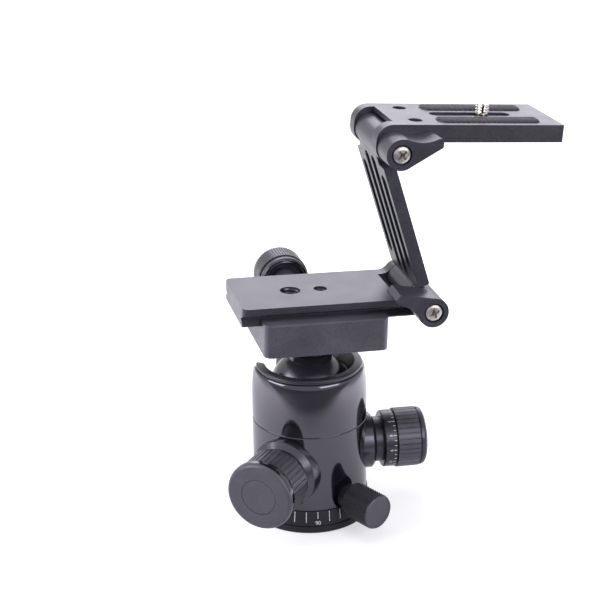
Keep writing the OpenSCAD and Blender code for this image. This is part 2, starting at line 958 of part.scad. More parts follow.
// The bottom plate's cross-section: a dovetail foot under a wider deck.
module foot_profile() {
    foot = foot_w / 2;
    flare_z = plate_z0 + foot_land + waist;
    polygon([
        [-foot, plate_z0], [foot, plate_z0], [foot, plate_z0 + foot_land], [foot - waist, flare_z],
        [foot - waist, flare_z + 0.4], [side, flare_z + 2.6], [side, plate_z1],
        [-side, plate_z1], [-side, flare_z + 2.6], [-(foot - waist), flare_z + 0.4],
        [-(foot - waist), flare_z], [-foot, plate_z0 + foot_land]
    ]);
}

// The fillet between the plate's deck and a hinge ear, seen along Y from the lower hinge.
module ear_fillet() {
    fillet_r = 6;
    deck = plate_z1 - lower_axis_z;
    reach = hinge_r + fillet_r;
    fillet_z = deck + fillet_r;
    fillet_x = -sqrt(reach * reach - fillet_z * fillet_z);
    difference() {
        polygon([
            [fillet_x, deck - 1], [0, deck - 1], [0, deck],
            [hinge_r * fillet_x / reach, hinge_r * fillet_z / reach], [fillet_x, deck]
        ]);
        translate([fillet_x, fillet_z])
            circle(r = fillet_r);
    }
}

// Both ears of a hinge from a profile seen along Y.
module both_ears(y0, y1) {
    for (y = [y0, -y1])
        translate([0, y1 + y - y0, 0])
            rotate([90, 0, 0])
                linear_extrude(y1 - y0)
                    children();
}

// Bores of a hinge pin through both ears, with its head let into the far one.
module pin_bores() {
    bar_y(pin_r + seat_c, -side - 1, side + 1);
    bar_y(pin_head_r + face_c / 2, side - pin_head_t - face_c, side + 1);
}

module bottom_plate() {
    left = -bottom_left;
    color(GREY)
        at_clamp()
            difference() {
                union() {
                    intersection() {
                        translate([left, 0, 0])
                            rotate([90, 0, 90])
                                linear_extrude(lower_axis_x - left)
                                    foot_profile();
                        translate([0, 0, plate_z0 - 1])
                            linear_extrude(bottom_t + 2)
                                round_rect(left, -side, lower_axis_x + 10, side, 3);
                    }
                    translate([lower_axis_x, 0, lower_axis_z])
                        both_ears(cheek, side) {
                            circle(r = hinge_r);
                            ear_fillet();
                        }
                }
                translate([lower_axis_x - flat_end, -cheek, plate_z0 - 1])
                    cube([flat_end + hinge_r + 1, 2 * cheek, bottom_t + 2 * hinge_r]);
                translate([lower_axis_x, 0, lower_axis_z])
                    pin_bores();
                translate([big_hole_x, 0, plate_z0 - 1])
                    cylinder(r = big_thread_r, h = bottom_t + 2);
                translate([small_hole_x, 0, plate_z0 - 1])
                    cylinder(r = top_thread_r, h = bottom_t + 2);
            }
}

// A hinge pin: a socket-head bolt that ends inside the lever.
module hinge_pin() {
    head_y = side - pin_head_t;
    difference() {
        union() {
            bar_y(pin_r, -(lever_y1 - lever_recess - lever_wall - face_c), head_y + 0.1);
            bar_y(pin_head_r, head_y, side - face_c / 2);
        }
        translate([0, side + 1, 0])
            rotate([90, 0, 0])
                cylinder(r = pin_r - 0.5, h = 2.6, $fn = 6);
        bar_y(lever_screw_r + run_c, -lever_y1, -(lever_y1 - lever_recess - lever_wall - lever_screw_len - 1));
    }
}

module hinge_washers() {
    for (s = [-1, 1])
        translate([0, s * (arm_half + hinge_gap / 2) + hinge_washer_t / 2, 0])
            rotate([90, 0, 0])
                ring(hinge_washer_r, pin_r + run_c, hinge_washer_t);
}

module lower_pin() {
    color(STEEL)
        at_lower()
            hinge_pin();
}

module lower_washers() {
    color(NYLON)
        at_lower()
            hinge_washers();
}

// The grooves milled along the arm's face: those outside the barrels are shorter.
module arm_grooves() {
    pitch = (plate_w - rib_w) / groove_count;
    half = (pitch - rib_w) / 2;
    for (i = [0 : groove_count - 1]) {
        y = (i - (groove_count - 1) / 2) * pitch;
        outer = abs(y) + half > arm_half;
        x0 = outer ? bar_in + hinge_r : bar_in;
        x1 = arm_len - (outer ? bar_out + 5 : bar_out - 2);
        translate([0, y, arm_set - groove_depth])
            stadium(x0, x1, half, groove_depth + 1);
    }
}

module arm() {
    low = arm_set - arm_t;
    color(BLACK)
        at_arm()
            difference() {
                union() {
                    bar_y(hinge_r, -arm_half, arm_half);
                    translate([arm_len, 0, -upper_set])
                        bar_y(hinge_r, -arm_half, arm_half);
                    translate([bar_in, -side, low])
                        cube([arm_len - bar_in - bar_out, plate_w, arm_t]);
                    translate([0, -arm_half, low])
                        cube([arm_len, 2 * arm_half, arm_t]);
                }
                bar_y(pin_r + run_c, -arm_half - 1, arm_half + 1);
                translate([arm_len, 0, -upper_set])
                    bar_y(pin_r + run_c, -arm_half - 1, arm_half + 1);
                arm_grooves();
            }
}

// The camera plate seen along Y: its deck and the ear that curls down round the hinge.
module top_profile() {
    ear_rise = top_rise - top_ear_r;
    translate([0, top_z0])
        square([top_len, top_t]);
    circle(r = top_ear_r);
    translate([0, ear_rise])
        circle(r = top_ear_r);
    translate([-top_ear_r, 0])
        square([2 * top_ear_r, ear_rise]);
}

module top_plate() {
    color(GREY)
        at_top()
            difference() {
                translate([0, side, 0])
                    rotate([90, 0, 0])
                        linear_extrude(plate_w)
                            top_profile();
                translate([-2 * hinge_r, -cheek, -2 * hinge_r])
                    cube([2 * hinge_r + top_cut, 2 * cheek, 2 * hinge_r + top_rise + 1]);
                bar_y(relief_r, -cheek, cheek);
                pin_bores();
                for (s = [-1, 1])
                    translate([top_hole_x, s * top_hole_y, top_z0 - hinge_r])
                        cylinder(r = top_thread_r, h = top_t + hinge_r + 1);
                translate([0, 0, top_z0 - 1])
                    stadium(slot_start, slot_end, slot_half, top_t + 2);
                translate([0, 0, top_z0 - 1])
                    stadium(slot_start - 2.8, slot_end + 2.8, shelf_half, shelf_z - top_z0 + 1);
                for (s = [-1, 1])
                    translate([0, s * pad_y, top_rise - pad_sink])
                        stadium(pad_start, pad_end, pad_w / 2, pad_sink + 1);
            }
}

module upper_pin() {
    color(STEEL)
        at_top()
            hinge_pin();
}

module upper_washers() {
    color(NYLON)
        at_top()
            hinge_washers();
}

module pad(s) {
    color(RUBBER)
        at_top()
            translate([0, s * pad_y, top_rise - pad_sink + seat_c])
                stadium(pad_start + face_c, pad_end - face_c, pad_w / 2 - face_c, pad_sink + pad_h);
}

module near_pad() {
    pad(-1);
}

module far_pad() {
    pad(1);
}

// A lever's outline: a round barrel and a tail scooped on its upper edge.
module lever_outline() {
    tip_r = 2.4;
    tip = [lever_len - tip_r, 4.4];
    scoop_r = 17;
    scoop = [lever_len / 2, 5.2 + scoop_r];
    circle(r = hinge_r);
    difference() {
        hull() {
            circle(r = hinge_r - 0.05, $fn = 48);
            translate(tip)
                circle(r = tip_r, $fn = 24);
        }
        translate(scoop)
            circle(r = scoop_r);
        translate([lever_len - 0.6, -hinge_r])
            square(2 * hinge_r);
    }
}

module lever() {
    difference() {
        translate([0, -lever_y0, 0])
            rotate([90, 0, 0])
                linear_extrude(lever_t)
                    lever_outline();
        bar_y(pin_r + run_c, -(lever_y1 - lever_recess - lever_wall), 0);
        bar_y(lever_screw_r + seat_c, -lever_y1 - 1, 0);
        bar_y(lever_recess_r, -lever_y1 - 1, -(lever_y1 - lever_recess));
    }
}

module lever_screw() {
    seat = lever_y1 - lever_recess + seat_c;
    bar_y(lever_head_r, -seat - lever_head_h, -seat);
    bar_y(lever_screw_r, -seat - 0.1, -(seat - lever_wall - lever_screw_len));
}

module lower_lever() {
    color(GREY)
        at_lower()
            rotate([0, -lower_lever_angle, 0])
                lever();
}

module lower_lever_screw() {
    color(STEEL)
        at_lower()
            rotate([0, -lower_lever_angle, 0])
                lever_screw();
}

module upper_lever() {
    color(GREY)
        at_top()
            rotate([0, top_angle - upper_lever_angle, 0])
                lever();
}

module upper_lever_screw() {
    color(STEEL)
        at_top()
            rotate([0, top_angle - upper_lever_angle, 0])
                lever_screw();
}

module screw_retainer() {
    color(NYLON)
        at_top()
            translate([camera_x, 0, shelf_z - retainer_t - run_c])
                ring(camera_head_r, camera_neck_r + run_c, retainer_t);
}

module camera_screw() {
    head_z = shelf_z - retainer_t - 2 * run_c - camera_head_t;
    color(STEEL)
        at_top()
            translate([camera_x, 0, 0]) {
                translate([0, 0, head_z])
                    cylinder(r = camera_head_r, h = camera_head_t);
                translate([0, 0, head_z + 1])
                    cylinder(r = camera_neck_r, h = top_rise + camera_h - head_z - 2);
                translate([0, 0, top_rise + camera_lift])
                    cylinder(r = camera_r, h = camera_h - camera_lift);
            }
}

pan_base();
scale_ring();
pan_washer();
pan_circlip();
lower_housing();
upper_housing();
lip_ring();
lock_collar();
drag_collar();
pan_boss();
cup_spring();
ball_cup();
ball();
stem();
clamp_bolt();
clamp_body();
guide_pins();
clamp_screw();
sliding_jaw();
clamp_knob();
clamp_knob_cap();
lock_knob();
lock_grip();
lock_cap();
lock_inlay();
lock_spindle();
lock_cone();
drag_ring();
drag_grip();
drag_cap();
drag_spindle();
drag_cone();
pan_knob();
pan_spindle();
pan_shoe();
bottom_plate();
lower_pin();
lower_washers();
arm();
top_plate();
upper_pin();
upper_washers();
near_pad();
far_pad();
lower_lever();
lower_lever_screw();
upper_lever();
upper_lever_screw();
screw_retainer();
camera_screw();
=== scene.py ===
"""Looks of a tripod ball head with a screw clamp and a folding tilt bracket.

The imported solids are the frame. This script gives each one a procedural finish and rounded edges, and adds
the small forms: threads, screw recesses, rubber strips, a knurl, fine rings, scale marks and numbers.
Lengths of the part are millimetres in the part's frame, turned into metres by MM.
Floor, lights and camera are in metres.
"""
import json
import math

import bmesh
import bpy
from mathutils import Matrix, Vector


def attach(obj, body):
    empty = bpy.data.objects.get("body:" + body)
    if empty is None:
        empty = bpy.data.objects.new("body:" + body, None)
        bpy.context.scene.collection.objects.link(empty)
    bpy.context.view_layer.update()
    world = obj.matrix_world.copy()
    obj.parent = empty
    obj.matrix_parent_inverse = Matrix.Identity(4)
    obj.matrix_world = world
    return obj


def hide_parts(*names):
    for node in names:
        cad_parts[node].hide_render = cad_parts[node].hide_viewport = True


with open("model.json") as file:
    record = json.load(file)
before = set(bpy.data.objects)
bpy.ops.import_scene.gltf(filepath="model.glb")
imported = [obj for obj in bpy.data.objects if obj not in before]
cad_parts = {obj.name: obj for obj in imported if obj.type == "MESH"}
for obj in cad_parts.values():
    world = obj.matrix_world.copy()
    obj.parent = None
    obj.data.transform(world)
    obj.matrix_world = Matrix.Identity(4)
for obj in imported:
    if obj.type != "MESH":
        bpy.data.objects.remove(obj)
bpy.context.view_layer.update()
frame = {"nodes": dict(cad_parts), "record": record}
scene = bpy.context.scene

# Sizes shared with the solids
MILLIMETRE = 0.001
MM = Matrix.Scale(MILLIMETRE, 4)
BALL_Z = 63.0
POSE_TILT = 2.0
LOWER = (48.1, 48.0)
ARM_ANGLE = math.radians(108.7)
ARM_LEN = 76.4
UPPER_SET = 5.7
TOP_ANGLE = -2.0
PLATE_TOP = 50.0
PLATE_BOTTOM = 41.0
TOP_RISE = 10.0
TOP_UNDER = 2.0
CAMERA_SCREW_X = 48.8
LEVER_FACE = 35.2
LEVER_SCREW_SINK = 1.6
LEVER_SCREW_GAP = 0.02

# Radius and pitch of the camera threads, 1/4 and 3/8 inch
QUARTER = (3.175, 1.27)
THREE_EIGHTHS = (4.7625, 1.5875)


def turn_y(deg):
    return Matrix.Rotation(math.radians(deg), 4, "Y")


def turn_z(deg):
    return Matrix.Rotation(math.radians(deg), 4, "Z")


def radial(azimuth, height):
    """A frame whose +Z points outwards from the panning axis."""
    return Matrix.Translation((0, 0, height)) @ turn_z(azimuth) @ turn_y(90)


# Places of the moving groups at rest
LOCK = radial(229.5, 30.0)
DRAG = radial(-5.0, 32.5)
PAN = radial(297.0, 15.0)
CLAMP = Matrix.Translation((0, 0, BALL_Z)) @ turn_y(POSE_TILT)
LOWER_HINGE = CLAMP @ Matrix.Translation((LOWER[0], 0, LOWER[1]))
UPPER_HINGE = CLAMP @ Matrix.Translation((
    LOWER[0] + ARM_LEN * math.cos(ARM_ANGLE) + UPPER_SET * math.sin(ARM_ANGLE),
    0,
    LOWER[1] + ARM_LEN * math.sin(ARM_ANGLE) - UPPER_SET * math.cos(ARM_ANGLE),
))
TOP = UPPER_HINGE @ turn_y(-TOP_ANGLE)
CAMERA_SCREW = TOP @ Matrix.Translation((CAMERA_SCREW_X, 0, 0))
OUT_NEAR = Matrix.Rotation(math.radians(90), 4, "X")
CLAMP_KNOB_RIM = CLAMP @ Matrix.Translation((0, 52.55, 34.7)) @ OUT_NEAR


# Shader helpers
def noise(tree, place, scale, detail):
    node = tree.nodes.new("ShaderNodeTexNoise")
    node.inputs["Scale"].default_value = scale
    node.inputs["Detail"].default_value = detail
    tree.links.new(place, node.inputs["Vector"])
    return node.outputs["Fac"]


def ramp(tree, source, stops):
    """A colour that runs between two stops, each a position and a colour."""
    node = tree.nodes.new("ShaderNodeValToRGB")
    for element, (position, colour) in zip(node.color_ramp.elements, stops):
        element.position = position
        element.color = (*colour, 1)
    tree.links.new(source, node.inputs["Fac"])
    return node.outputs["Color"]


def map_range(tree, source, span, to=(0.0, 1.0)):
    """A value that goes from one end of to to the other as source crosses span, and no further."""
    node = tree.nodes.new("ShaderNodeMapRange")
    for end, value in zip(("From Min", "From Max", "To Min", "To Max"), (*span, *to)):
        node.inputs[end].default_value = value
    tree.links.new(source, node.inputs["Value"])
    return node.outputs["Result"]


def arithmetic(tree, operation, *terms):
    """The result of a math node whose terms are numbers or outputs of other nodes."""
    node = tree.nodes.new("ShaderNodeMath")
    node.operation = operation
    for socket, term in zip(node.inputs, terms):
        if isinstance(term, bpy.types.NodeSocket):
            tree.links.new(term, socket)
        else:
            socket.default_value = term
    return node.outputs[0]


# Materials
COOL_TINT = (0.92, 0.88, 1.0)
NO_TINT = (1, 1, 1)
CLOUD_DETAIL = 4.0
CLOUD_STOPS = (0.3, 0.72)
GRAIN_DETAIL = 2.0
GRAIN_SPAN = (0.35, 0.65)
GRAIN_DEPTH = 0.0002
ROUGH_SPAN = (0.3, 0.7)
ROUGH_SWING = (0.88, 1.12)


def material(name, colour, rough, *, spread, cloud, bump, grain=5000.0, speckle=0.0, metallic=0.0,
             specular=0.5, tint=COOL_TINT):
    """A finish with clouded colour, uneven roughness and a fine grain, all from noise in object space.

    cloud and grain are the scales of the broad and the fine noise. spread and speckle say how far each of
    them changes the colour, and bump how much the fine one stands out.
    """
    mat = bpy.data.materials.new(name)
    mat.use_nodes = True
    tree = mat.node_tree
    links = tree.links
    shader = tree.nodes["Principled BSDF"]
    shader.inputs["Metallic"].default_value = metallic
    shader.inputs["Specular IOR Level"].default_value = specular
    shader.inputs["Specular Tint"].default_value = (*tint, 1)
    place = tree.nodes.new("ShaderNodeTexCoord").outputs["Object"]
    broad = noise(tree, place, cloud, CLOUD_DETAIL)
    fine = noise(tree, place, grain, GRAIN_DETAIL)
    dark = [c * (1 - spread) for c in colour]
    light = [min(1.0, c * (1 + spread)) for c in colour]
    clouded = ramp(tree, broad, zip(CLOUD_STOPS, (dark, light)))
    speckled = tree.nodes.new("ShaderNodeVectorMath")
    speckled.operation = "SCALE"
    links.new(clouded, speckled.inputs["Vector"])
    links.new(map_range(tree, fine, GRAIN_SPAN, (1 - speckle, 1 + speckle)), speckled.inputs["Scale"])
    links.new(speckled.outputs["Vector"], shader.inputs["Base Color"])
    smoothest, roughest = (min(1.0, rough * swing) for swing in ROUGH_SWING)
    links.new(map_range(tree, broad, ROUGH_SPAN, (smoothest, roughest)), shader.inputs["Roughness"])
    bumps = tree.nodes.new("ShaderNodeBump")
    bumps.inputs["Strength"].default_value = bump
    bumps.inputs["Distance"].default_value = GRAIN_DEPTH
    links.new(fine, bumps.inputs["Height"])
    links.new(bumps.outputs["Normal"], shader.inputs["Normal"])
    return mat


GLOSS = material("gloss_black", (0.004, 0.004, 0.006), 0.1, spread=0.15, cloud=45, bump=0.008, specular=1.0)
BALL = material("ball_black", (0.012, 0.012, 0.016), 0.24, spread=0.15, cloud=45, bump=0.03, specular=0.8)
SATIN = material("satin_black", (0.014, 0.014, 0.018), 0.3, spread=0.18, cloud=70, bump=0.1)
RING = material("ring_black", (0.011, 0.011, 0.014), 0.36, spread=0.18, cloud=70, bump=0.08, specular=0.3)
BLASTED = material("blasted_black", (0.030, 0.030, 0.037), 0.33, spread=0.18, cloud=70, bump=0.32,
                   grain=1700, speckle=0.22, specular=0.42)
CAST = material("cast_black", (0.052, 0.052, 0.062), 0.4, spread=0.18, cloud=70, bump=0.3,
                grain=1500, speckle=0.14, specular=0.42)
SPUN = material("spun_black", (0.044, 0.044, 0.052), 0.42, spread=0.15, cloud=80, bump=0.3,
                grain=1500, speckle=0.12)
RUBBER = material("rubber", (0.034, 0.034, 0.040), 0.4, spread=0.2, cloud=160, bump=0.3,
                  grain=3800, specular=0.7)
STRIP = material("strip_rubber", (0.014, 0.014, 0.015), 0.5, spread=0.2, cloud=220, bump=0.35,
                 grain=4200, specular=0.4)
STEEL = material("steel", (0.62, 0.60, 0.57), 0.28, spread=0.12, cloud=300, bump=0.08,
                 grain=2600, metallic=1.0, tint=NO_TINT)
HEAD = material("screw_head", (0.40, 0.37, 0.35), 0.34, spread=0.22, cloud=520, bump=0.1,
                grain=2600, metallic=1.0, tint=NO_TINT)
BRIGHT = material("bright_steel", (0.66, 0.62, 0.56), 0.16, spread=0.1, cloud=420, bump=0.05,
                  grain=2600, metallic=1.0, tint=NO_TINT)
BRASS = material("brass", (0.65, 0.48, 0.2), 0.32, spread=0.12, cloud=300, bump=0.08, metallic=1.0)
NYLON = material("nylon", (0.75, 0.74, 0.70), 0.5, spread=0.06, cloud=120, bump=0.1)
INK = material("scale_ink", (0.72, 0.70, 0.66), 0.6, spread=0.12, cloud=900, bump=0.1, grain=3000)

# Each solid has the finish of its slot, or its own
SLOT_FINISH = {
    "gloss_black": GLOSS, "satin_black": SATIN, "rubber": RUBBER,
    "steel": STEEL, "brass": BRASS, "nylon": NYLON,
}
NODE_FINISH = {
    "ball": BALL, "stem": BALL, "lock_collar": BALL, "drag_collar": BALL,
    "bottom_plate": BLASTED, "top_plate": BLASTED, "arm": BLASTED, "clamp_knob": BLASTED,
    "lower_lever": BLASTED, "upper_lever": BLASTED,
    "clamp_body": CAST, "sliding_jaw": CAST,
    "lock_cap": SPUN, "lock_inlay": SPUN,
    "scale_ring": RING, "pan_base": RING,
    "drag_ring": SATIN, "lip_ring": SATIN,
}
slots = {row["node"]: row["material_slot"] for row in frame["record"]["subparts"]}
for node, obj in frame["nodes"].items():
    finish = NODE_FINISH.get(node) or SLOT_FINISH[slots[node]]
    obj.data.materials.clear()
    obj.data.materials.append(finish)

# Rounded edges on the solids, in millimetres
EDGES = {
    "bottom_plate": 0.6, "top_plate": 0.4, "arm": 0.4, "clamp_body": 0.9, "sliding_jaw": 0.9,
    "lower_lever": 0.5, "upper_lever": 0.5, "upper_housing": 0.3, "pan_base": 0.5, "lip_ring": 0.4,
    "lock_collar": 0.3, "drag_collar": 0.3, "lock_cap": 0.5, "drag_cap": 0.35, "drag_ring": 0.25,
    "clamp_knob": 0.12, "pan_boss": 0.3, "stem": 0.3, "clamp_knob_cap": 0.2, "lock_inlay": 0.2,
}
WELD_GAP = 0.00001
EDGE_ANGLE = math.radians(38)
for node, width in EDGES.items():
    obj = frame["nodes"][node]
    weld = obj.modifiers.new("weld", "WELD")
    weld.merge_threshold = WELD_GAP
    bevel = obj.modifiers.new("edge", "BEVEL")
    bevel.width = width * MILLIMETRE
    bevel.segments = 3
    bevel.limit_method = "ANGLE"
    bevel.angle_limit = EDGE_ANGLE
    bevel.miter_outer = "MITER_ARC"
    smooth = obj.modifiers.new("normals", "WEIGHTED_NORMAL")
    smooth.keep_sharp = True


# Mesh helpers
def new_mesh(name, verts, faces, place=Matrix()):
    """A mesh of points and faces, put at place, with its normals pointing outwards."""
    mesh = bpy.data.meshes.new(name)
    mesh.from_pydata([tuple(v) for v in verts], [], faces)
    mesh.transform(place)
    work = bmesh.new()
    work.from_mesh(mesh)
    bmesh.ops.recalc_face_normals(work, faces=work.faces)
    work.to_mesh(mesh)
    work.free()
    return mesh


def add(name, verts, faces, finish, body, place, slot, stands_for=(), sharp=35.0):
    """A new piece from points in millimetres, put at place and riding on body."""
    mesh = new_mesh(name, verts, faces, MM @ place)
    for face in mesh.polygons:
        face.use_smooth = True
    mesh.set_sharp_from_angle(angle=math.radians(sharp))
    mesh.materials.append(finish)
    obj = bpy.data.objects.new(name, mesh)
    scene.collection.objects.link(obj)
    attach(obj, body)
    if stands_for:
        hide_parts(*stands_for)


def temporary(verts, faces):
    obj = bpy.data.objects.new("work", new_mesh("work", verts, faces))
    scene.collection.objects.link(obj)
    return obj


def drop(obj):
    data = obj.data
    bpy.data.objects.remove(obj)
    if isinstance(data, bpy.types.Mesh):
        bpy.data.meshes.remove(data)
    else:
        bpy.data.curves.remove(data)


def evaluated(obj):
    """Points and faces of an object with its modifiers."""
    graph = bpy.context.evaluated_depsgraph_get()
    mesh = bpy.data.meshes.new_from_object(obj.evaluated_get(graph))
    verts = [v.co.copy() for v in mesh.vertices]
    faces = [tuple(f.vertices) for f in mesh.polygons]
    bpy.data.meshes.remove(mesh)
    return verts, faces


def cut(shape, tools):
    """A closed shape with closed tools taken out of it."""
    target = temporary(*shape)
    cutters = [temporary(*tool) for tool in tools]
    for cutter in cutters:
        mod = target.modifiers.new("cut", "BOOLEAN")
        mod.operation = "DIFFERENCE"
        mod.solver = "EXACT"
        mod.object = cutter
    result = evaluated(target)
    for obj in [target] + cutters:
        drop(obj)
    return result


def join(*shapes):
    verts, faces = [], []
    for shape_verts, shape_faces in shapes:
        base = len(verts)
        verts.extend(shape_verts)
        faces.extend(tuple(i + base for i in f) for f in shape_faces)
    return verts, faces


def moved(shape, matrix):
    return [matrix @ Vector(v) for v in shape[0]], shape[1]


def lettering(words, size):
    """Points and faces of flat figures, centred on X and standing on Y = 0."""
    curve = bpy.data.curves.new("figures", "FONT")
    curve.body = words
    curve.size = size
    curve.align_x = "CENTER"
    curve.resolution_u = 3
    obj = bpy.data.objects.new("figures", curve)
    scene.collection.objects.link(obj)
    bpy.context.view_layer.update()
    shape = evaluated(obj)
    drop(obj)
    return shape


# Shapes
BOX_FACES = [(0, 3, 2, 1), (4, 5, 6, 7), (0, 1, 5, 4), (1, 2, 6, 5), (2, 3, 7, 6), (3, 0, 4, 7)]


def block(lo, hi):
    x0, y0, z0 = lo
    x1, y1, z1 = hi
    verts = [(x0, y0, z0), (x1, y0, z0), (x1, y1, z0), (x0, y1, z0),
             (x0, y0, z1), (x1, y0, z1), (x1, y1, z1), (x0, y1, z1)]
    return verts, BOX_FACES


def on_circle(r, i, count, z):
    """Point i of count on a circle round Z."""
    a = 2 * math.pi * i / count
    return (r * math.cos(a), r * math.sin(a), z)


def end_caps(segs, rows):
    """The two end faces of a tube of rings, the first ring being row 0 and the last being row rows."""
    return [tuple(range(segs))[::-1], tuple(range(rows * segs, (rows + 1) * segs))]


def lathe(profile, segs=96):
    """A profile of (radius, height) points turned round Z.

    It is closed by points on the axis at its ends, or by its first point given again as its last.
    """
    verts, faces, rings = [], [], []
    for r, z in profile:
        if rings and (r, z) == profile[0]:
            rings.append(rings[0])
            continue
        if r < 1e-6:
            rings.append([len(verts)])
            verts.append((0.0, 0.0, z))
            continue
        rings.append(list(range(len(verts), len(verts) + segs)))
        verts.extend(on_circle(r, i, segs, z) for i in range(segs))
    for low, high in zip(rings, rings[1:]):
        for i in range(segs):
            j = (i + 1) % segs
            if len(low) == 1:
                faces.append((low[0], high[j], high[i]))
            elif len(high) == 1:
                faces.append((low[i], low[j], high[0]))
            else:
                faces.append((low[i], low[j], high[j], high[i]))
    return verts, faces


def screw_rod(thread, depth, z0, z1, segs=48, steps=10):
    """A closed rod with a V thread, tapered to the thread's foot at both ends."""
    r, pitch = thread
    taper = 0.8 * pitch
    crest_width = 1.15
    rows = max(4, int((z1 - z0) / pitch * steps))
    verts, faces = [], []
    for k in range(rows + 1):
        z = z0 + (z1 - z0) * k / rows
        ends = min(1.0, (z - z0) / taper, (z1 - z) / taper)
        for i in range(segs):
            phase = (z / pitch - i / segs) % 1.0
            crest = 1.0 - abs(2 * phase - 1)
            rad = r - depth * (1 - min(crest * crest_width, 1.0) * max(0.0, ends))
            verts.append(on_circle(rad, i, segs, z))
    for k in range(rows):
        for i in range(segs):
            j = (i + 1) % segs
            faces.append((k * segs + i, k * segs + j, (k + 1) * segs + j, (k + 1) * segs + i))
    return verts, faces + end_caps(segs, rows)


def screw_wall(thread, depth, z0, z1, segs=40):
    """The thread inside a hole: one V ridge that winds along the wall and fades at both ends."""
    r, pitch = thread
    foot = 0.46 * pitch
    run_in = segs * 0.3
    turns = (z1 - z0) / pitch - 1
    count = int(turns * segs)
    verts, faces = [], []
    for k in range(count + 1):
        z = z0 + pitch * (0.5 + k / segs)
        fade = min(1.0, k / run_in, (count - k) / run_in)
        for rad, dz in ((r, -foot), (r - depth * fade, 0.0), (r, foot)):
            verts.append(on_circle(rad, k, segs, z + dz))
    for k in range(count):
        n = 3 * k
        faces.append((n, n + 1, n + 4, n + 3))
        faces.append((n + 1, n + 2, n + 5, n + 4))
    return verts, faces


def raised_mark(point, angle, low, high, half):
    """A thin mark on a curved face, half being half its width in radians.

    point gives the place on that face from an angle, a position between low and high, and a lift off it.
    """
    lift_off = 0.05
    verts = []
    for lift in (-lift_off, lift_off):
        for turn, position in ((-half, low), (half, low), (half, high), (-half, high)):
            verts.append(point(angle + turn, position, lift))
    return verts, BOX_FACES[1:]


FIGURE_LIFT = 0.06

# Scale on the panning base: radius and height of the ring's slope at its foot and at its top
RING_FOOT = (29.0, 3.62)
RING_TOP = (27.9, 11.0)
RING_SLOPE = 7.4
RING_MARK_R = 28.5
RING_FIGURE_R = 28.8
RING_MARK_WIDTH = 0.34
RING_START = 263.2
RING_STEPS = 32
RING_STEP = 11.25


def on_cone(angle, t, lift):
    """A point on the scale ring, t from the foot (0) to the top (1) of its slope."""
    r = RING_FOOT[0] + (RING_TOP[0] - RING_FOOT[0]) * t + lift
    z = RING_FOOT[1] + (RING_TOP[1] - RING_FOOT[1]) * t
    return (r * math.cos(angle), r * math.sin(angle), z)


marks = []
for step in range(RING_STEPS):
    azimuth = math.radians(RING_START + RING_STEP * step)
    numbered = step % 4 == 0
    foot = 0.5 if numbered else 0.26
    marks.append(raised_mark(on_cone, azimuth, foot, 0.95, RING_MARK_WIDTH / 2 / RING_MARK_R))
    if numbered:
        degrees = (90 - 45 * (step // 4)) % 360
        figures, figure_faces = lettering(str(degrees), 2.7)
        bent = [on_cone(azimuth + v.x / RING_FIGURE_R, 0.1 + v.y / RING_SLOPE, FIGURE_LIFT) for v in figures]
        marks.append((bent, figure_faces))
add("scale_marks", *join(*marks), INK, "base", Matrix(), "nylon", sharp=60)

# Scale on the drag ring
DRUM_R = 13.9
DRUM_MARK_WIDTH = 0.3
DRUM_MARK_TOP = 40.4
DRUM_FIGURE_FOOT = 37.0
DRUM_STEPS = 36
DRUM_STEP = 10


def on_drum(angle, z, lift):
    r = DRUM_R + lift
    return (r * math.cos(angle), r * math.sin(angle), z)


marks = []
for step in range(DRUM_STEPS):
    angle = math.radians(DRUM_STEP * step)
    numbered = step % 3 == 0
    foot = 38.9 if numbered else 39.3
    marks.append(raised_mark(on_drum, angle, foot, DRUM_MARK_TOP, DRUM_MARK_WIDTH / 2 / DRUM_R))
    if numbered:
        figures, figure_faces = lettering(str(step // 3), 2.1)
        bent = [on_drum(angle + v.x / DRUM_R, DRUM_FIGURE_FOOT + v.y, FIGURE_LIFT) for v in figures]
        marks.append((bent, figure_faces))
add("drag_marks", *join(*marks), INK, "drag_knob", DRAG, "nylon", sharp=60)


# Rubber strips of the camera plate
def strip(x0, x1, half, z0, z1):
    """A stadium strip moulded like a twisted cord, no higher than z1."""
    nx, ny = 240, 26
    pitch = 2.45
    lean = 0.85
    bow = 0.12
    relief = 1.0
    end_round = 0.62
    taper = 0.9
    margin = 0.05
    verts, faces = [], []
    for j in range(ny + 1):
        y = half * (2 * j / ny - 1)
        across = y / half
        inset = end_round * (half - math.sqrt(max(0.0, half * half - y * y)))
        edge = 1 - abs(across) ** 6
        crown = math.sqrt(max(0.0, 1 - 0.7 * across * across))
        for i in range(nx + 1):
            x = x0 + inset + (x1 - x0 - 2 * inset) * i / nx
            phase = (x + lean * (y - bow * half * math.sin(math.pi * across))) / pitch
            ridge = abs(math.sin(math.pi * phase)) ** 0.6
            ends = min(1.0, (x - x0 - inset + margin) / taper, (x1 - inset - x + margin) / taper)
            height = (0.05 + 0.25 * crown + 0.7 * ridge) * edge * max(0.15, ends)
            tooth = 1 - 0.16 * (1 - ridge) * abs(across) ** 3
            verts.append((x, y * tooth, z1 - relief + height))
    row = nx + 1
    for j in range(ny):
        for i in range(nx):
            n = j * row + i
            faces.append((n, n + 1, n + row + 1, n + row))
    outline = list(range(row))
    outline += [j * row + nx for j in range(1, ny + 1)]
    outline += [ny * row + i for i in range(nx - 1, -1, -1)]
    outline += [j * row for j in range(ny - 1, 0, -1)]
    foot = len(verts)
    verts.extend((verts[n][0], verts[n][1], z0) for n in outline)
    for k, n in enumerate(outline):
        after = (k + 1) % len(outline)
        faces.append((n, foot + k, foot + after, outline[after]))
    faces.append(tuple(range(foot, foot + len(outline))))
    return verts, faces


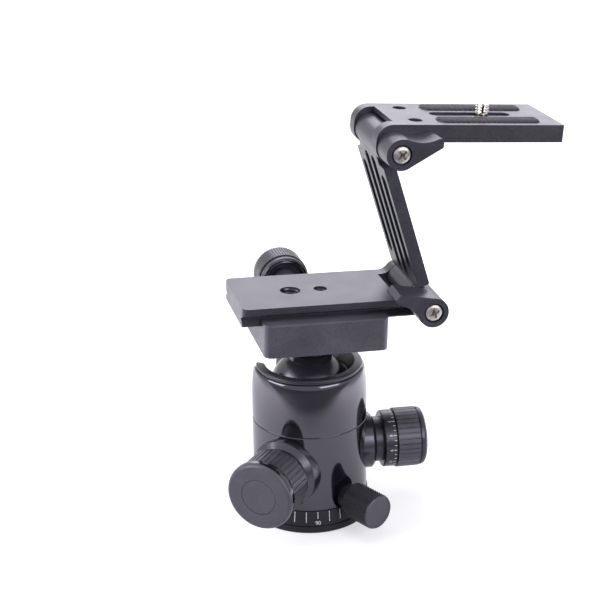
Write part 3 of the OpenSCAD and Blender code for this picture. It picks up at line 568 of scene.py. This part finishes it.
STRIP_Y = 12.0
for node, side in (("near_pad", -1), ("far_pad", 1)):
    shape = strip(22.6, 71.9, 5.3, TOP_RISE - 0.58, TOP_RISE + 1.02)
    place = TOP @ Matrix.Translation((0, STRIP_Y * side, 0))
    add(node + "_cord", *shape, STRIP, "camera_plate", place, "rubber", stands_for=(node,), sharp=75)

# Camera screw with its thread and its slots for a coin, above and below
head = lathe([
    (0, 2.45), (5.2, 2.45), (5.8, 2.75), (5.8, 5.35), (5.5, 5.6), (2.775, 5.6), (2.775, 10.4), (0, 10.4),
])
head = cut(head, [block((-7, -0.7, 2.0), (7, 0.7, 3.9))])
stud = screw_rod(QUARTER, 0.55, TOP_RISE + 0.3, TOP_RISE + 5.0)
stud = cut(stud, [block((-4, -0.5, TOP_RISE + 0.9), (4, 0.5, TOP_RISE + 6))])
STUD_TURN = turn_z(74)
add("camera_screw_threaded", *join(head, moved(stud, STUD_TURN)), BRIGHT, "camera_screw", CAMERA_SCREW,
    "steel", stands_for=("camera_screw",), sharp=28)

# Painted shade: a dark block fills the stud's slot so that the middle of the stud reads dark
slot_shade = block((-2.5, -0.48, TOP_RISE + 0.6), (2.5, 0.48, TOP_RISE + 4.5))
add("camera_screw_slot_shade", *moved(slot_shade, STUD_TURN), RING, "camera_screw", CAMERA_SCREW, "satin_black")


# Lever screws with a cross recess
def cross_screw(spin):
    """A pan head, its seat at 0 and its top at 1.9, with a shank below."""
    profile = [
        (0, -8.4), (1.2, -8.4), (1.6, -8.0), (1.6, 0), (3.9, 0), (4.0, 0.15), (4.0, 1.0), (3.75, 1.4),
        (3.2, 1.68), (2.2, 1.84), (1.0, 1.9), (0, 1.9),
    ]
    wing = block((-2.5, -0.55, 0.1), (2.5, 0.55, 3.0))
    tools = [moved(wing, turn_z(quarter + spin)) for quarter in (0, 90)]
    tools.append(lathe([(0, -1.2), (0.5, -1.2), (1.2, 0.9), (1.2, 3.0), (0, 3.0)], 24))
    return cut(lathe(profile, 64), tools)


SEAT = Matrix.Translation((0, -(LEVER_FACE - LEVER_SCREW_SINK + LEVER_SCREW_GAP), 0))
for body, hinge, spin in (("lower_lever", LOWER_HINGE, 24), ("upper_lever", UPPER_HINGE, 41)):
    node = body + "_screw"
    place = hinge @ SEAT @ OUT_NEAR
    add(node + "_cross", *cross_screw(spin), HEAD, body, place, "steel", stands_for=(node,), sharp=32)


# Pan knob with a diamond knurl and a turned face
def diamonds(r, depth, z0, z1, around, rows):
    """A closed drum of small pyramids, peaks at r, in a chequered pattern of peaks and pits."""
    verts, faces = [], []
    for k in range(rows + 1):
        z = z0 + (z1 - z0) * k / rows
        for i in range(around):
            rad = r if (i + k) % 2 == 0 and 0 < k < rows else r - depth
            verts.append(on_circle(rad, i, around, z))
    for k in range(rows):
        for i in range(around):
            j = (i + 1) % around
            p, q = k * around + i, k * around + j
            s, t = q + around, p + around
            if (i + k) % 2 == 0:
                faces += [(p, q, t), (q, s, t)]
            else:
                faces += [(p, q, s), (p, s, t)]
    return verts, faces + end_caps(around, rows)


knurl = diamonds(8.6, 0.36, 31.3, 47.75, 72, 22)
add("pan_knob_knurled", *knurl, RING, "pan_knob", PAN, "satin_black", stands_for=("pan_knob",), sharp=18)
face = lathe([
    (0, 47.5), (8.15, 47.5), (8.15, 47.8), (8.0, 48.2), (7.7, 48.4), (7.35, 48.4), (7.15, 48.15), (0, 48.15),
])
add("pan_knob_face", *face, SPUN, "pan_knob", PAN, "satin_black", sharp=25)

# Polished band round the lock knob's cap
band = lathe([
    (16.2, 48.65), (16.42, 48.7), (16.52, 49.2), (16.56, 50.1), (16.52, 51.0), (16.42, 51.5), (16.2, 51.55),
    (16.2, 48.65),
], 128)
add("lock_cap_band", *band, GLOSS, "lock_knob", LOCK, "satin_black", sharp=60)

# Two fine ridges on the rim of the clamp knob's cup
rim = lathe([
    (9.85, -0.3), (9.85, 0.1), (9.95, 0.25), (10.15, 0.32), (10.35, 0.25), (10.5, 0.08), (10.95, 0.08),
    (11.1, 0.25), (11.3, 0.32), (11.5, 0.25), (11.6, 0.1), (11.6, -0.3), (9.85, -0.3),
])
add("clamp_knob_rim", *rim, GLOSS, "clamp_knob", CLAMP_KNOB_RIM, "satin_black", sharp=60)

# Threads in the holes: each hole's thread, its depth and its place
THREAD_STOP = 0.3
PLATE_HOLES = ((THREE_EIGHTHS, 0.5, (-10.5, 0, 0)), (QUARTER, 0.4, (3.9, 0, 0)))
CAMERA_PLATE_HOLES = ((QUARTER, 0.4, (12.8, -11.9, 0)), (QUARTER, 0.4, (12.8, 11.9, 0)))
SOCKET = ((THREE_EIGHTHS, 0.5, (0, 0, 0)),)
for name, body, place, holes, z0, z1 in (
    ("plate_threads", "bracket", CLAMP, PLATE_HOLES, PLATE_BOTTOM, PLATE_TOP - THREAD_STOP),
    ("camera_plate_threads", "camera_plate", TOP, CAMERA_PLATE_HOLES, TOP_UNDER, TOP_RISE - THREAD_STOP),
    ("socket_thread", "base", Matrix(), SOCKET, 0.4, 12.0),
):
    walls = [moved(screw_wall(thread, depth, z0, z1), Matrix.Translation(at)) for thread, depth, at in holes]
    add(name, *join(*walls), SATIN, body, place, "satin_black", sharp=25)

# Floor
FLOOR_HALF = 6.0
FLOOR_Z = -0.0002
floor_mesh = bpy.data.meshes.new("floor")
floor_mesh.from_pydata(
    [(x * FLOOR_HALF, y * FLOOR_HALF, FLOOR_Z) for x, y in ((-1, -1), (1, -1), (1, 1), (-1, 1))],
    [],
    [(0, 1, 2, 3)],
)
floor = bpy.data.objects.new("floor", floor_mesh)
scene.collection.objects.link(floor)
floor_finish = bpy.data.materials.new("floor")
floor_finish.use_nodes = True
tree = floor_finish.node_tree
shader = tree.nodes["Principled BSDF"]
shader.inputs["Roughness"].default_value = 0.9
shader.inputs["Specular IOR Level"].default_value = 0.1
spot = tree.nodes.new("ShaderNodeTexCoord").outputs["Object"]

# The pale sheet ends a hand's breadth in front of the base, and the dark table beyond shows in the gloss
TO_FRONT = (-0.266, -0.964, 0)
SHEET_END = (0.125, 0.19)
SHEET_COLOUR = (0.6, 0.6, 0.6)
TABLE_COLOUR = (0.24, 0.24, 0.24)
ahead = tree.nodes.new("ShaderNodeVectorMath")
ahead.operation = "DOT_PRODUCT"
ahead.inputs[1].default_value = TO_FRONT
tree.links.new(spot, ahead.inputs[0])
table = map_range(tree, ahead.outputs["Value"], SHEET_END)
cover = ramp(tree, table, ((0.0, SHEET_COLOUR), (1.0, TABLE_COLOUR)))
tree.links.new(cover, shader.inputs["Base Color"])

# White for the camera and, on the sheet, in reflections, with less of it near the base to keep the shadow
WHITENING = (0.1, 0.8)
CAMERA_WHITE = (0.53, 0.85)
MIRROR_WHITE = (0.4, 0.78)
TABLE_WHITE = 0.5
away = tree.nodes.new("ShaderNodeVectorMath")
away.operation = "LENGTH"
tree.links.new(spot, away.inputs[0])
seen_white = map_range(tree, away.outputs["Value"], WHITENING, CAMERA_WHITE)
mirror_white = map_range(tree, away.outputs["Value"], WHITENING, MIRROR_WHITE)
path = tree.nodes.new("ShaderNodeLightPath").outputs
backdrop = arithmetic(tree, "MULTIPLY_ADD", table, TABLE_WHITE, seen_white)
pictured = arithmetic(tree, "MULTIPLY", path["Is Camera Ray"], backdrop)
sheet = arithmetic(tree, "SUBTRACT", 1.0, table)
lit = arithmetic(tree, "MULTIPLY", mirror_white, sheet)
mirrored = arithmetic(tree, "MAXIMUM", path["Is Glossy Ray"], path["Is Transmission Ray"])
glow = arithmetic(tree, "MULTIPLY_ADD", mirrored, lit, pictured)
shader.inputs["Emission Color"].default_value = (1, 1, 1, 1)
tree.links.new(glow, shader.inputs["Emission Strength"])
floor_mesh.materials.append(floor_finish)

# World, white for the camera and in reflections, and dimmer as a light
world = bpy.data.worlds.new("studio")
scene.world = world
world.use_nodes = True
tree = world.node_tree
tree.nodes.clear()
out = tree.nodes.new("ShaderNodeOutputWorld")
mix = tree.nodes.new("ShaderNodeMixShader")
for socket, colour, strength in ((1, (0.93, 0.95, 1.0, 1), 0.45), (2, (1, 1, 1, 1), 1.0)):
    background = tree.nodes.new("ShaderNodeBackground")
    background.inputs["Color"].default_value = colour
    background.inputs["Strength"].default_value = strength
    tree.links.new(background.outputs["Background"], mix.inputs[socket])
path = tree.nodes.new("ShaderNodeLightPath").outputs
seen = arithmetic(tree, "MAXIMUM", path["Is Camera Ray"], path["Is Glossy Ray"])
shown = arithmetic(tree, "MAXIMUM", seen, path["Is Transmission Ray"])
tree.links.new(shown, mix.inputs["Fac"])
tree.links.new(mix.outputs["Shader"], out.inputs["Surface"])

# Lights
LAMP_COLOUR = (0.91, 0.89, 1.0)


def softbox(name, place, target, size, power, spread=180):
    """A rectangular lamp at place that points at target, its spread in degrees."""
    lamp = bpy.data.lights.new(name, "AREA")
    lamp.shape = "RECTANGLE"
    lamp.size, lamp.size_y = size
    lamp.energy = power
    lamp.color = LAMP_COLOUR
    lamp.spread = math.radians(spread)
    obj = bpy.data.objects.new(name, lamp)
    obj.location = place
    aim = Vector(target) - Vector(place)
    obj.rotation_euler = aim.to_track_quat("-Z", "Y").to_euler()
    obj.visible_camera = False
    scene.collection.objects.link(obj)


softbox("back_box", (0.34, 1.15, 0.66), (0.03, 0, 0.13), (1.0, 0.6), 4.8)
softbox("top_box", (-0.1, 0.15, 1.1), (0, 0, 0.1), (0.8, 0.6), 6.0)
softbox("left_box", (-1.04, -0.07, 0.55), (0, 0, 0.08), (0.75, 0.5), 10.5)
softbox("right_box", (0.5, -0.92, 0.55), (0, 0, 0.08), (0.8, 0.5), 8.5)
softbox("left_floor_box", (-0.25, 0.15, 0.38), (-0.25, 0.15, 0), (0.2, 0.7), 1.0, 40)
softbox("right_floor_box", (0.25, 0.05, 0.38), (0.25, 0.05, 0), (0.2, 0.6), 1.0, 40)

# Camera
CAMERA_AT = Vector((-0.1474, -0.5898, 0.3456))
RIGHT = Vector((0.9640, -0.2661, 0.0)).normalized()
FORWARD = Vector((0.2475, 0.8965, -0.3675)).normalized()
UP = RIGHT.cross(FORWARD).normalized()
camera_data = bpy.data.cameras.new("camera")
camera_data.sensor_width = 36.0
camera_data.lens = 84.0
camera_data.shift_x = -0.0674
camera_data.shift_y = 0.0073
camera_data.clip_start = 0.01
camera = bpy.data.objects.new("camera", camera_data)
camera.matrix_world = Matrix((
    (RIGHT.x, UP.x, -FORWARD.x, CAMERA_AT.x),
    (RIGHT.y, UP.y, -FORWARD.y, CAMERA_AT.y),
    (RIGHT.z, UP.z, -FORWARD.z, CAMERA_AT.z),
    (0, 0, 0, 1),
))
scene.collection.objects.link(camera)
scene.camera = camera
scene.view_settings.view_transform = "Standard"
